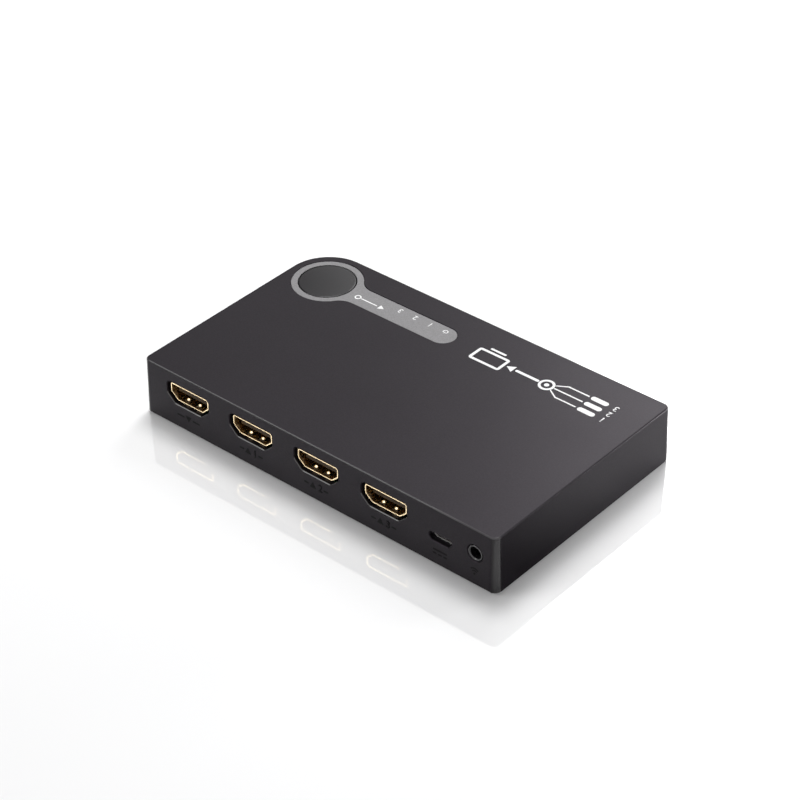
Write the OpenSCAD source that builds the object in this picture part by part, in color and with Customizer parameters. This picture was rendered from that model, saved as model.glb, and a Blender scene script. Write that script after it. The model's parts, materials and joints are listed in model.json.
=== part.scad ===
// Video switch box: a low moulded case with a row of sockets along one long side, a round
// select button ringed by a grey panel, and the circuit board that carries the sockets.
// Millimetres. X runs along the socket row, the sockets face -Y, and Z is up from the table.

/* [Case] */
// Length of the case along the socket row
case_l = 130; // [128:1:160]
// Depth of the case from the socket face to the back
case_w = 77.7; // [76:0.1:110]
// Height of the case without its feet
case_h = 18.1; // [17:0.1:26]
// How far the side walls lean in between the bottom and the top
draft = 0.45; // [0:0.05:0.6]
// Thickness of the side walls at the bottom
wall = 2; // [1.7:0.1:2.4]
// Thickness of the top wall
top_t = 2; // [1.8:0.1:2.6]
// Radius of the three small upright corners
corner_r = 2.4; // [2:0.1:5]
// Radius of the large upright corner, which shares its centre with the button
button_corner_r = 14; // [13.6:0.1:18]
// Rounding along the top edges
edge_r = 0.5; // [0.2:0.1:0.8]
// Thickness of the base plate
base_t = 2; // [1.6:0.1:2.6]
// Thickness of the wall that is left beside the base plate
base_lip = 1; // [0.7:0.1:1.2]
// Gap round the base plate
base_clear = 0.15; // [0.1:0.05:0.3]
// Thickness of the ribs under the top wall
rib_t = 1; // [0.8:0.1:1.6]
// Height of the ribs under the top wall
rib_h = 1.2; // [0.6:0.1:1.8]
// Distance of the ribs' front ends from the socket face
rib_front_in = 21; // [20:0.5:30]
// Distance of the ribs' back ends from the back
rib_back_in = 25; // [25:0.5:30]

/* [Feet] */
// Radius of a rubber foot
foot_r = 4.5; // [3:0.1:5.5]
// Height of a foot below the case
foot_proud = 0.6; // [0.4:0.1:2]
// Depth of the pocket that holds a foot
foot_pocket = 0.8; // [0.4:0.1:1]
// Gap round a foot in its pocket
foot_clear = 0.2; // [0.1:0.05:0.4]
// Distance of a foot's centre from the short sides
foot_in_x = 15; // [14:0.5:22]
// Distance of a foot's centre from the long sides
foot_in_y = 10; // [9:0.5:12]

/* [Button and panel] */
// Radius of the select button
button_r = 8.6; // [7:0.1:8.8]
// Height of the button above the top of the case
button_proud = 0.25; // [0.1:0.05:1]
// Height of the crown of the button's top
button_crown = 0.4; // [0.1:0.05:0.6]
// Rounding of the button's upper edge
button_edge_r = 0.3; // [0.2:0.1:0.9]
// Thickness of the button's top
button_top_t = 1.5; // [1:0.1:2]
// Thickness of the button's skirt
button_skirt_t = 1.2; // [0.8:0.1:1.6]
// Gap round the button in the panel and the case
button_clear = 0.3; // [0.3:0.05:0.5]
// Width of the flange that holds the button in
button_flange = 1.2; // [0.8:0.1:1.4]
// Thickness of that flange
button_flange_t = 1.2; // [0.8:0.1:1.6]
// Gap between the flange and the top wall at rest
button_stop_gap = 0.15; // [0.1:0.05:0.3]
// Radius of the button's stem
stem_r = 2; // [1.5:0.1:3]
// Travel of the button
press_travel = 0.5; // [0.25:0.05:0.7]
// Thickness of the guide collar round the flange
collar_t = 0.9; // [0.6:0.1:1]
// Width of the key that stops the button turning
key_w = 2; // [1.4:0.1:3]
// Outer radius of the panel's ring
ring_r = 11; // [10.5:0.1:11.8]
// Width of the panel's strip
strip_w = 8.5; // [6.5:0.1:10]
// Distance from the button's centre to the centre of the strip's round end
strip_l = 44.7; // [42:0.1:60]
// Radius of the fillets between ring and strip
strip_fillet = 6; // [4:0.1:8]
// Thickness of the panel
panel_t = 1; // [0.6:0.1:1.2]
// Depth of the panel's face below the top of the case
panel_sink = 0.15; // [0.05:0.05:0.4]
// Gap round the panel in its recess
panel_clear = 0.1; // [0.05:0.05:0.25]
// Radius of a light pipe under the panel
pipe_r = 1.1; // [0.8:0.1:1.5]
// Gap round a light pipe
pipe_clear = 0.15; // [0.1:0.05:0.3]
// Wall of the tube round a light pipe
tube_t = 0.9; // [0.6:0.1:1.1]
// Length of that tube below the top wall
tube_l = 4; // [2:0.1:5]
// Gap between a light pipe and its lamp
lamp_gap = 0.4; // [0.3:0.1:1]
// Distance between lamps
lamp_pitch = 5.7; // [5.5:0.1:7]
// Distance of the last lamp from the centre of the strip's round end
lamp_end = 0.5; // [0:0.1:3]

/* [Board] */
// Height of the board's upper face above the bottom of the case
board_rise = 7.5; // [7.2:0.1:8.2]
// Thickness of the board
board_t = 1.6; // [1:0.1:2]
// Gap between the board's edge and the case walls
board_clear = 0.5; // [0.3:0.1:1]
// Gap round the pins that pass through the board
pin_clear = 0.15; // [0.1:0.05:0.3]
// Thickness of the rest under the row of sockets
rest_t = 1.2; // [0.8:0.1:1.6]
// Radius of the pillar under the switch
pillar_r = 2.5; // [1.5:0.1:4]

/* [Screws] */
// Radius of a case screw
screw_r = 1.25; // [1:0.05:1.4]
// Length of a case screw below its head
screw_l = 9.4; // [8.6:0.2:11]
// Radius of a case screw's head
screw_head_r = 2.3; // [2:0.1:2.4]
// Height of a case screw's head
screw_head_h = 1.5; // [1:0.1:2]
// Height of the head's seat above the bottom of the case
screw_seat = 2.6; // [2.4:0.1:3.2]
// Gap round a screw in a plain hole
screw_clear = 0.25; // [0.15:0.05:0.3]
// Gap round a screw in the hole that it is driven into
pilot_clear = 0.05; // [0.02:0.01:0.1]
// Radius of the posts under the top wall
post_r = 2.8; // [2.4:0.1:3.2]
// Radius of the base plate's columns
column_r = 3.5; // [3.3:0.1:4]
// Distance of the posts from the short sides
post_in = 6.5; // [6.3:0.1:8]
// Distance of the front posts from the socket face
front_post_in = 19.5; // [19:0.5:24]
// Distance of the back posts from the back
back_post_in = 6.5; // [6.3:0.1:8]
// Distance of the back left post from the button's centre
button_post = 18; // [16.5:0.5:22]
// Radius of a board screw
board_screw_r = 1; // [0.8:0.05:1.2]
// Length of a board screw below its head
board_screw_l = 5; // [4:0.1:6]
// Radius of a board screw's head
board_screw_head_r = 2; // [1.6:0.1:2.4]
// Height of a board screw's head
board_screw_head_h = 1.2; // [0.8:0.1:1.6]
// Radius of the posts for the board screws
board_post_r = 2.4; // [2:0.1:3]
// Distance of the left board post behind the middle of the case
left_board_post_y = 2; // [0:0.5:5]
// Distance of the back board post to the right of the middle of the case
back_board_post_x = 20; // [15:0.5:30]

/* [Video sockets] */
// Distance from the left side of the case to the first socket
socket_first = 17.6; // [17:0.1:18.5]
// Distance from the last video socket to the power socket
socket_to_power = 19.7; // [19:0.1:22]
// Width of a socket's mouth
socket_w = 14; // [13.8:0.05:14.2]
// Height of a socket's mouth
socket_h = 4.55; // [4.4:0.05:4.7]
// Width of the mouth's lower side
socket_low_w = 9.7; // [9.2:0.1:10.4]
// Height of the mouth's upright sides
socket_side_h = 2.6; // [2.2:0.1:3]
// Rounding of the mouth's corners
socket_round = 0.4; // [0.2:0.05:0.6]
// Thickness of a socket's sheet metal
socket_sheet = 0.4; // [0.3:0.05:0.45]
// Length of a socket's shell
socket_l = 11.4; // [11:0.1:12]
// Length of the shell's lower wall
socket_floor_l = 9; // [8.6:0.1:9.2]
// Height of a socket's centre above the board
socket_up = 3.6; // [3.4:0.1:3.9]
// Depth of the mouths behind the case's face
port_recess = 0.8; // [0.4:0.1:1.2]
// Gap between a video socket and its opening
port_gap = 0.75; // [0.4:0.05:1]
// Width of a socket's tongue
tongue_w = 11.6; // [11:0.1:12]
// Thickness of the tongue
tongue_t = 1.5; // [1.2:0.1:1.6]
// Height of the tongue above the socket's centre
tongue_up = 0.2; // [0:0.05:0.3]
// Depth of the tongue's front edge behind the mouth
tongue_back = 1.6; // [1.4:0.1:2.2]
// Depth of the block that carries the tongue behind the mouth
block_back = 7.6; // [7.4:0.1:8.2]
// Depth of the block's rear behind the mouth
block_end = 11; // [10.6:0.1:11]
// Gap between a shell and the block in it
insert_clear = 0.05; // [0.02:0.01:0.1]
// Distance between neighbouring contacts in a row
contact_pitch = 1; // [0.9:0.05:1.1]
// Width of a contact
contact_w = 0.34; // [0.25:0.01:0.4]
// Thickness of a contact
contact_t = 0.18; // [0.12:0.01:0.25]
// Height of a contact above the tongue
contact_proud = 0.06; // [0.03:0.01:0.1]
// Length of a contact's foot on the board
contact_foot = 1; // [0.6:0.1:1.4]
// Width of the shell's springs
spring_w = 1.8; // [1.2:0.1:2.2]
// Distance between the two springs in a wall
spring_gap = 4.5; // [4:0.1:4.8]
// Width of the slot round a spring
spring_slot = 0.35; // [0.25:0.05:0.5]
// Depth of a spring's tip behind the mouth
spring_tip = 1.2; // [1:0.1:1.3]
// Depth of a spring's crest behind the mouth
spring_crest = 2; // [1.9:0.1:2.4]
// Depth of a spring's root behind the mouth
spring_root = 7; // [6:0.1:7.4]
// Height of a spring's crest inside the wall
spring_rise = 0.15; // [0.1:0.05:0.3]
// Radius of the dimple on a spring
dimple_r = 0.75; // [0.5:0.05:0.85]
// Height of that dimple
dimple_h = 0.4; // [0.2:0.05:0.5]
// Depth of the front legs behind the mouth
leg_front = 3.2; // [3.1:0.1:4]
// Distance between front and rear legs
leg_span = 5.6; // [5:0.1:6]
// Width of a leg above the board
leg_w = 2.4; // [2:0.1:2.6]
// Width of a leg's pin
leg_pin_w = 1.2; // [0.8:0.1:1.6]
// Length of a leg's pin below the board
leg_below = 0.6; // [0.3:0.1:1]

/* [Power socket] */
// Distance from the power socket to the jack
power_to_jack = 11.8; // [11:0.1:12.5]
// Width of the power socket's mouth
power_w = 6.9; // [6.7:0.05:7.1]
// Height of its mouth
power_h = 1.85; // [1.8:0.05:2]
// Width of the mouth's lower side
power_low_w = 5.4; // [5:0.1:5.8]
// Height of the mouth's upright sides
power_side_h = 1.1; // [0.9:0.05:1.3]
// Rounding of the mouth's corners
power_round = 0.3; // [0.15:0.05:0.4]
// Thickness of its sheet metal
power_sheet = 0.25; // [0.2:0.05:0.3]
// Length of its shell
power_l = 5; // [4.8:0.1:5.6]
// Depth of its mouth behind the case's face
power_recess = 1.8; // [1.6:0.1:2.6]
// Gap between the power socket and its opening, in outline
power_gap = 0.1; // [0.05:0.05:0.3]
// Width of the legs that stand on the board
power_leg_w = 1.2; // [0.8:0.1:1.6]
// Width of the power socket's tongue
power_tongue_w = 4; // [3.6:0.1:4.4]
// Thickness of that tongue
power_tongue_t = 0.7; // [0.5:0.05:0.8]
// Depth of the tongue's front edge behind the mouth
power_tongue_back = 0.9; // [0.6:0.1:1.4]
// Length of the block at the rear of the shell
power_block_l = 1.2; // [0.8:0.1:1.6]
// Distance between its contacts
power_pitch = 0.65; // [0.6:0.05:0.7]
// Width of a power contact
power_contact_w = 0.3; // [0.2:0.05:0.35]
// Height of that tongue's upper face above the middle of the mouth
power_tongue_up = 0.3; // [0.2:0.05:0.4]

/* [Jack] */
// Distance from the right side of the case to the jack's axis
jack_in = 7.4; // [7.2:0.1:8]
// Radius of the jack's bore
jack_bore_r = 1.8; // [1.76:0.01:1.9]
// Depth of the jack's bore from its front
jack_bore_l = 13.7; // [12:0.1:14.5]
// Thickness of the wall behind the bore
jack_rear_t = 0.8; // [0.6:0.1:1.4]
// Radius of the round collar
jack_collar_r = 2.4; // [2.3:0.05:2.7]
// Radius of the bore's flared mouth
jack_mouth_r = 2; // [1.9:0.05:2.2]
// Depth of the flared mouth
jack_mouth_l = 0.2; // [0.1:0.1:0.8]
// Depth of the collar's front behind the case's face
jack_recess = 0.1; // [0.1:0.1:0.6]
// Gap round the collar in the case
jack_gap = 0.2; // [0.15:0.05:0.4]
// Width of the jack's body
jack_w = 6; // [5.8:0.1:6.6]
// Height of the jack's body
jack_h = 5.2; // [5:0.1:5.6]
// Height of the jack's axis above the board
jack_up = 2.8; // [2.7:0.1:3]
// Thickness of a jack terminal
terminal_t = 0.3; // [0.2:0.05:0.4]
// Width of a jack terminal
terminal_w = 1.4; // [1:0.1:1.8]
// Radius of the jack's locating pegs
peg_r = 0.6; // [0.4:0.05:0.8]

/* [Switch] */
// Width of the switch
switch_w = 6.2; // [6:0.1:6.6]
// Height of the switch with its cover
switch_h = 3.4; // [3:0.1:3.8]
// Thickness of the switch's cover
switch_cover_t = 0.3; // [0.2:0.05:0.4]
// Radius of the plunger
plunger_r = 1.7; // [1.4:0.1:1.9]
// Height of the plunger above the switch at rest
plunger_up = 1.4; // [1:0.1:1.8]
// Width of the plunger's flange
plunger_flange = 0.5; // [0.4:0.05:0.6]
// Thickness of the plunger's flange
plunger_flange_t = 0.6; // [0.4:0.05:0.8]
// Gap round the plunger
plunger_clear = 0.3; // [0.3:0.05:0.35]
// Gap above and below the plunger's flange
plunger_end_gap = 0.15; // [0.1:0.05:0.3]

/* [Board parts] */
// Width of the video chip
video_chip_w = 10; // [8:0.5:12]
// Leads on each side of the video chip
video_chip_leads = 12; // [8:1:14]
// Length of the control chip
control_chip_l = 9.9; // [8.6:0.1:12]
// Width of the control chip
control_chip_w = 3.9; // [3.5:0.1:4.5]
// Leads on each side of the control chip
control_chip_leads = 8; // [4:1:8]
// Height of the chips
chip_h = 1.5; // [1.2:0.1:2]
// Length of the regulator
regulator_l = 6.5; // [6:0.1:7]
// Width of the regulator
regulator_w = 3.5; // [3:0.1:4]
// Thickness of the chips' leads
lead_t = 0.2; // [0.15:0.05:0.25]
// Reach of a lead beyond its chip
lead_out = 1; // [0.8:0.1:1.2]
// Radius of an electrolytic capacitor
can_r = 2.5; // [2:0.1:3.2]
// Height of an electrolytic capacitor
can_h = 5.4; // [4:0.1:5.8]
// Thickness of an electrolytic capacitor's base
can_base_t = 0.8; // [0.6:0.1:1]
// Length of the crystal
crystal_l = 11; // [9:0.1:12]
// Width of the crystal
crystal_w = 4.5; // [4:0.1:5]
// Height of the crystal
crystal_h = 3.5; // [2.5:0.1:4]
// Length of a small chip part
chip_part_l = 2; // [1.6:0.1:2.4]
// Width of a small chip part
chip_part_w = 1.25; // [0.8:0.05:1.4]
// Height of a small chip part
chip_part_h = 0.7; // [0.4:0.05:1]
// Length of a lamp
lamp_l = 2; // [1.6:0.1:2.4]
// Width of a lamp
lamp_w = 1.25; // [1:0.05:1.6]
// Height of a lamp
lamp_h = 0.9; // [0.6:0.05:1.2]

/* [Hidden] */
$fn = 64;
profile_fn = 24;
cut = 1;
inner_corner_r = 0.4;
crown_fn = 720;
bond = 0.3;

// Heights of the faces that the pieces share
z_case = foot_proud;
z_top = z_case + case_h;
z_ceil = z_top - top_t;
z_base = z_case + base_t;
z_board = z_case + board_rise;
z_under = z_board - board_t;
z_seat = z_case + screw_seat;
z_recess = z_top - panel_sink - panel_t;
z_bond = (z_ceil + z_recess) / 2;
z_plunger = z_board + switch_h + plunger_up;

// Places in plan
y_face = -case_w / 2;
power_up = power_h / 2 + power_sheet;
y_mouth = face_y(z_board + socket_up) + port_recess;
y_power = face_y(z_board + power_up) + power_recess;
y_jack = face_y(z_board + jack_up) + jack_recess;
button_pos = [-case_l / 2 + button_corner_r, case_w / 2 - button_corner_r];
case_posts = [
    [-case_l / 2 + post_in, y_face + front_post_in],
    [case_l / 2 - post_in, y_face + front_post_in],
    [button_pos[0] + button_post, case_w / 2 - back_post_in],
    [case_l / 2 - post_in, case_w / 2 - back_post_in]
];
board_posts = [
    [-case_l / 2 + post_in, left_board_post_y],
    [back_board_post_x, case_w / 2 - back_post_in]
];
foot_x = case_l / 2 - foot_in_x;
foot_y = case_w / 2 - foot_in_y;
feet = [for (sy = [-1, 1], sx = [-1, 1]) [sx * foot_x, sy * foot_y]];
jack_x = case_l / 2 - jack_in;
power_x = jack_x - power_to_jack;
first_socket_x = -case_l / 2 + socket_first;
socket_pitch = (power_x - socket_to_power - first_socket_x) / 3;
socket_x = [for (i = [0:3]) first_socket_x + i * socket_pitch];
lamp_x = [for (i = [0:3]) button_pos[0] + strip_l - lamp_end - i * lamp_pitch];
rib_pitch = 23;
rib_middle_x = 8;
ribs_x = [for (i = [-1:1]) rib_middle_x + i * rib_pitch];
ribs_y = [y_face + rib_front_in, case_w / 2 - rib_back_in];

// Plan of the board's own parts, from the sides that they stand near
control_in = 34;
control_y = 2;
crystal_y = -12;
regulator_in = 19;
regulator_y = -12;
cans_in = 31;
cans_y = -9.5;
can_pitch = 9;
resistors_in = 17;
resistor_pitch = 3;
ceramic_pitch = 4;
ceramic_gap = 10;
video_chip_at = [-5, -6];
control_chip_at = [-case_l / 2 + control_in, control_y];
crystal_at = [-case_l / 2 + control_in, crystal_y];
regulator_at = [case_l / 2 - regulator_in, regulator_y];
cans_at = [for (i = [-1, 1]) [case_l / 2 - cans_in, cans_y + i * can_pitch / 2]];
ceramics_at = [for (i = [-2:2]) video_chip_at + [i * ceramic_pitch, video_chip_w / 2 + ceramic_gap]];
resistors_at = [for (x = socket_x, i = [-1.5:1.5]) [x + i * resistor_pitch, y_face + resistors_in]];

// Sizes that follow from the ones above
flange_r = button_r + button_flange;
collar_r = flange_r + button_clear;
collar_l = button_stop_gap + button_flange_t + press_travel + button_stop_gap;
plunger_flange_r = plunger_r + plunger_flange;
cavity_r = plunger_flange_r + plunger_clear;
cavity_l = 2 * plunger_end_gap + plunger_flange_t + press_travel;
jack_l = jack_bore_l + jack_rear_t;
jack_collar_l = y_face + wall + board_clear / 2 - y_jack;
jack_front = jack_collar_l - board_clear / 4;
legs_y = [leg_front, leg_front + leg_span];
leg_x = (socket_w + socket_sheet) / 2;

// Places of the jack's pegs and of its three terminals, from the middle of its front
peg_in = 2;
jack_pegs_y = [jack_collar_l + peg_in, jack_l - peg_in];
terminal_x = (jack_w + terminal_t) / 2;
terminals_at = [[-terminal_x, jack_l / 2], [terminal_x, jack_l / 2], [terminal_x, jack_l - terminal_w]];

// Contacts on the upper and on the lower face of a video socket's tongue, and in the power socket
contact_counts = [10, 9];
power_contact_count = 5;

// Names of the repeated pieces
socket_names = ["out", "in_1", "in_2", "in_3"];
lamp_names = ["power", "1", "2", "3"];
foot_names = ["front_left", "front_right", "back_left", "back_right"];

// Extrudes a profile along Y, with its first axis along X and its second along Z
module along_y(y0, len) {
    translate([0, y0 + len, 0]) rotate([90, 0, 0]) linear_extrude(len) children();
}

// Extrudes a profile along X, with its first axis along Y and its second along Z
module along_x(x0, len) {
    translate([x0, 0, 0]) rotate([90, 0, 90]) linear_extrude(len) children();
}

// A quarter of a disc, in the positive quadrant
module quarter_2d(r) {
    intersection() {
        circle(r);
        square(r);
    }
}

// Place of the leaning front face at a height
function face_y(z) = y_face + draft * (z - z_case) / (case_h - edge_r);

// Radii of the case's corners, moved inwards by d, from the front left round to the back left
function outline_radii(d) =
    let (small = max(corner_r - d, inner_corner_r))
    [small, small, small, button_corner_r - d];

// Centres of those corners
function outline_centres(d) =
    let (r = outline_radii(d), x = case_l / 2 - d, y = case_w / 2 - d)
    [[-x + r[0], -y + r[0]], [x - r[1], -y + r[1]], [x - r[2], y - r[2]], [-x + r[3], y - r[3]]];

// The case's outline, moved inwards by d
module case_outline(d) {
    r = outline_radii(d);
    c = outline_centres(d);
    polygon([for (i = [0:3], a = [180, 270]) c[i] + r[i] * [cos(a + 90 * i), sin(a + 90 * i)]]);
    for (i = [0:3]) translate(c[i]) circle(r[i]);
}

// Upright profile of the case's skirt: a leaning wall and a rounded top edge
module skirt_2d() {
    h = case_h - edge_r;
    polygon([[-bond, 0], [draft + edge_r, 0], [edge_r, h], [0, h], [0, case_h], [-bond, case_h]]);
    translate([0, h]) quarter_2d(edge_r);
}

// The case as a solid block: an upright core with the skirt round it
module case_block() {
    r = outline_radii(0);
    c = outline_centres(0);
    skirt = draft + edge_r;
    translate([0, 0, z_case]) linear_extrude(case_h) case_outline(skirt);
    for (i = [0:3]) translate([c[i][0], c[i][1], z_case]) rotate([0, 0, 90 * i]) {
        rotate([0, 0, 180]) rotate_extrude(angle = 90) translate([r[i] - skirt, 0]) skirt_2d();
        translate([0, skirt - r[i], 0])
            along_x(0, (c[(i + 1) % 4] - c[i]) * [cos(90 * i), sin(90 * i)]) mirror([1, 0]) skirt_2d();
    }
}

// Key-shaped outline of the panel round the button's centre, moved inwards by d
module panel_outline(d) {
    r = ring_r - d;
    h = strip_w / 2 - d;
    f = strip_fillet + d;
    x = sqrt(pow(r + f, 2) - pow(h + f, 2));
    circle(r);
    translate([0, -h]) square([strip_l, 2 * h]);
    translate([strip_l, 0]) circle(h);
    for (side = [0, 1]) mirror([0, side]) difference() {
        polygon([[0, 0], [x, 0], [x, h + f]]);
        translate([x, h + f]) circle(f);
    }
}

// Mouth of a plug socket: upright sides above, drawn in below; grow moves it outwards
module mouth_2d(w, h, low_w, side_h, round_r, grow) {
    offset(r = round_r + grow, $fn = profile_fn) offset(delta = -round_r) polygon([
        [-w / 2, h / 2], [-w / 2, h / 2 - side_h], [-low_w / 2, -h / 2],
        [low_w / 2, -h / 2], [w / 2, h / 2 - side_h], [w / 2, h / 2]
    ]);
}

module socket_2d(grow) {
    mouth_2d(socket_w, socket_h, socket_low_w, socket_side_h, socket_round, grow);
}

module power_2d(grow) {
    mouth_2d(power_w, power_h, power_low_w, power_side_h, power_round, grow);
}

// Frames of the ports: origin in the middle of the mouth, +Y into the case
module at_socket(i) {
    translate([socket_x[i], y_mouth, z_board + socket_up]) children();
}

module at_power() {
    translate([power_x, y_power, z_board + power_up]) children();
}

module at_jack() {
    translate([jack_x, y_jack, z_board + jack_up]) children();
}

// Upright cylinder between two heights
module upright(at, r, z0, z1) {
    translate([at[0], at[1], z0]) cylinder(r = r, h = z1 - z0);
}

// Case moulding

module shell_walls() {
    difference() {
        case_block();
        translate([0, 0, z_case - cut]) linear_extrude(z_ceil - z_case + cut) case_outline(wall);
        translate([0, 0, z_case - cut]) linear_extrude(base_t + cut) case_outline(base_lip);
    }
}

module button_collar() {
    translate(button_pos) difference() {
        upright([0, 0], collar_r + collar_t, z_ceil - collar_l, z_bond);
        upright([0, 0], collar_r, z_ceil - collar_l - cut, z_ceil + cut);
        translate([-key_w / 2 - button_clear, -collar_r - collar_t - cut, z_ceil - collar_l - cut])
            cube([key_w + 2 * button_clear, collar_r + collar_t + cut, collar_l + cut]);
    }
}

module port_cuts() {
    cut_l = wall + 2 * cut;
    for (i = [0:3]) at_socket(i) along_y(y_face - y_mouth - cut, cut_l) socket_2d(socket_sheet + port_gap);
    at_power() along_y(y_face - y_power - cut, cut_l) power_2d(power_sheet + power_gap);
    at_jack() translate([0, y_face - y_jack - cut, 0]) rotate([-90, 0, 0])
        cylinder(r = jack_collar_r + jack_gap, h = cut_l);
}

module top_shell() {
    tube_r = pipe_r + pipe_clear + tube_t;
    color([0.22, 0.21, 0.22]) difference() {
        union() {
            shell_walls();
            button_collar();
            for (p = case_posts) upright(p, post_r, z_board, z_bond);
            for (p = board_posts) upright(p, board_post_r, z_board, z_bond);
            for (x = lamp_x) upright([x, button_pos[1]], tube_r, z_ceil - tube_l, z_bond);
            for (x = ribs_x) translate([x - rib_t / 2, ribs_y[0], z_ceil - rib_h])
                cube([rib_t, ribs_y[1] - ribs_y[0], z_bond - z_ceil + rib_h]);
        }
        translate([button_pos[0], button_pos[1], z_recess]) linear_extrude(top_t) panel_outline(0);
        upright(button_pos, button_r + button_clear, z_ceil - cut, z_top);
        for (x = lamp_x)
            upright([x, button_pos[1]], pipe_r + pipe_clear, z_ceil - tube_l - cut, z_top);
        for (p = case_posts)
            upright(p, screw_r + pilot_clear, z_board - cut, z_seat + screw_l + 2 * screw_clear);
        for (p = board_posts)
            upright(p, board_screw_r + pilot_clear, z_board - cut,
                z_under + board_screw_l + 2 * screw_clear);
        port_cuts();
    }
}

module base_plate() {
    rest_y = y_mouth + leg_front + leg_span / 2;
    rest_x = [socket_x[0] - socket_w / 2, socket_x[3] + socket_w / 2];
    color([0.16, 0.16, 0.17]) difference() {
        union() {
            translate([0, 0, z_case]) linear_extrude(base_t) case_outline(base_lip + base_clear);
            for (p = case_posts) upright(p, column_r, z_base - base_t / 2, z_under);
            upright(button_pos, pillar_r, z_base - base_t / 2, z_under);
            translate([rest_x[0], rest_y - rest_t / 2, z_base - base_t / 2])
                cube([rest_x[1] - rest_x[0], rest_t, z_under - z_base + base_t / 2]);
        }
        for (p = case_posts) {
            upright(p, screw_head_r + screw_clear, z_case - cut, z_seat);
            upright(p, screw_r + screw_clear, z_seat - cut, z_under + cut);
        }
        for (p = feet) upright(p, foot_r + foot_clear, z_case - cut, z_case + foot_pocket);
    }
}

module foot(i) {
    edge = foot_proud / 2;
    color([0.1, 0.1, 0.1]) translate(feet[i]) rotate_extrude() {
        square([foot_r - edge, foot_proud + foot_pocket]);
        translate([0, edge]) square([foot_r, foot_proud + foot_pocket - edge]);
        translate([foot_r - edge, edge]) circle(edge);
    }
}

// Panel and button

module indicator_panel() {
    pipe_end = z_board + lamp_h + lamp_gap;
    color([0.59, 0.585, 0.59]) {
        difference() {
            translate([button_pos[0], button_pos[1], z_recess]) linear_extrude(panel_t)
                panel_outline(panel_clear);
            upright(button_pos, button_r + button_clear, z_recess - cut, z_top);
        }
        for (x = lamp_x) upright([x, button_pos[1]], pipe_r, pipe_end, z_recess + panel_t / 2);
    }
}

module select_button() {
    top = z_top + button_proud;
    rim = top - button_crown;
    flat_r = button_r - button_edge_r;
    crown_r = (pow(flat_r, 2) + pow(button_crown, 2)) / (2 * button_crown);
    flange_z = z_ceil - button_stop_gap - button_flange_t;
    inner_r = button_r - button_skirt_t;
    color([0.28, 0.275, 0.28]) translate(button_pos) {
        difference() {
            rotate_extrude() {
                translate([0, flange_z]) square([button_r, rim - button_edge_r - flange_z]);
                translate([flat_r, rim - button_edge_r]) circle(button_edge_r);
                intersection() {
                    translate([0, flange_z]) square([flat_r, top - flange_z]);
                    translate([0, top - crown_r]) circle(crown_r, $fn = crown_fn);
                }
                translate([0, flange_z]) square([flange_r, button_flange_t]);
            }
            upright([0, 0], inner_r, flange_z - cut, top - button_top_t);
        }
        upright([0, 0], stem_r, z_plunger, top - button_top_t / 2);
        for (a = [0, 90]) rotate([0, 0, a]) translate([-inner_r - button_skirt_t / 2, -rib_t / 2, flange_z])
            cube([2 * inner_r + button_skirt_t, rib_t, top - button_top_t / 2 - flange_z]);
        translate([-key_w / 2, -collar_r - collar_t, flange_z])
            cube([key_w, collar_r + collar_t - inner_r, button_flange_t]);
    }
}

module switch_body() {
    h = switch_h - switch_cover_t;
    color([0.12, 0.12, 0.12]) translate([button_pos[0], button_pos[1], z_board]) difference() {
        translate([-switch_w / 2, -switch_w / 2, 0]) cube([switch_w, switch_w, h]);
        upright([0, 0], cavity_r, h - cavity_l, h + cut);
    }
}

module switch_cover() {
    color([0.75, 0.75, 0.74]) translate([button_pos[0], button_pos[1], z_board + switch_h - switch_cover_t])
        difference() {
            translate([-switch_w / 2, -switch_w / 2, 0]) cube([switch_w, switch_w, switch_cover_t]);
            upright([0, 0], plunger_r + plunger_clear, -cut, switch_cover_t + cut);
        }
}

module switch_plunger() {
    flange_top = z_board + switch_h - switch_cover_t - plunger_end_gap;
    color([0.1, 0.1, 0.1]) {
        upright(button_pos, plunger_r, flange_top - plunger_flange_t, z_plunger);
        upright(button_pos, plunger_flange_r, flange_top - plunger_flange_t, flange_top);
    }
}

// A bent lead, from the side of a chip down to its foot: first axis outwards, second upwards
module lead_2d(out, rise) {
    knee = out / 3;
    polygon([
        [0, rise], [knee + lead_t, rise], [knee + 2 * lead_t, lead_t], [out, lead_t],
        [out, 0], [knee + lead_t, 0], [knee, rise - lead_t], [0, rise - lead_t]
    ]);
}

// A row of leads along X on the +Y side of a chip that is w wide
module lead_row(w, count, pitch, width, rise) {
    for (i = [0:count - 1]) translate([(i - (count - 1) / 2) * pitch, w / 2, 0])
        along_x(-width / 2, width) lead_2d(lead_out, rise);
}

// A moulded chip with a chamfered upper edge
module chip_body(l, w, h) {
    c = h / 4;
    translate([0, 0, lead_t]) intersection() {
        along_x(-l / 2, l) chip_2d(w, h - lead_t, c);
        along_y(-w / 2, w) chip_2d(l, h - lead_t, c);
    }
}

module chip_2d(w, h, c) {
    polygon([[-w / 2, 0], [w / 2, 0], [w / 2, h - c], [w / 2 - c, h], [c - w / 2, h], [-w / 2, h - c]]);
}

module on_board(at) {
    translate([at[0], at[1], z_board]) children();
}

module switch_terminals() {
    color([0.8, 0.8, 0.78]) on_board(button_pos) for (a = [0, 180]) rotate([0, 0, a])
        lead_row(switch_w, 2, switch_w - 2 * lead_out, lead_out, lead_out);
}

// Board

// Slot for a flat pin, cut right through the board
module pin_slot(x, y, l, w) {
    translate([x, y, z_board - board_t / 2])
        cube([l + 2 * pin_clear, w + 2 * pin_clear, board_t + 2 * cut], center = true);
}

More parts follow.
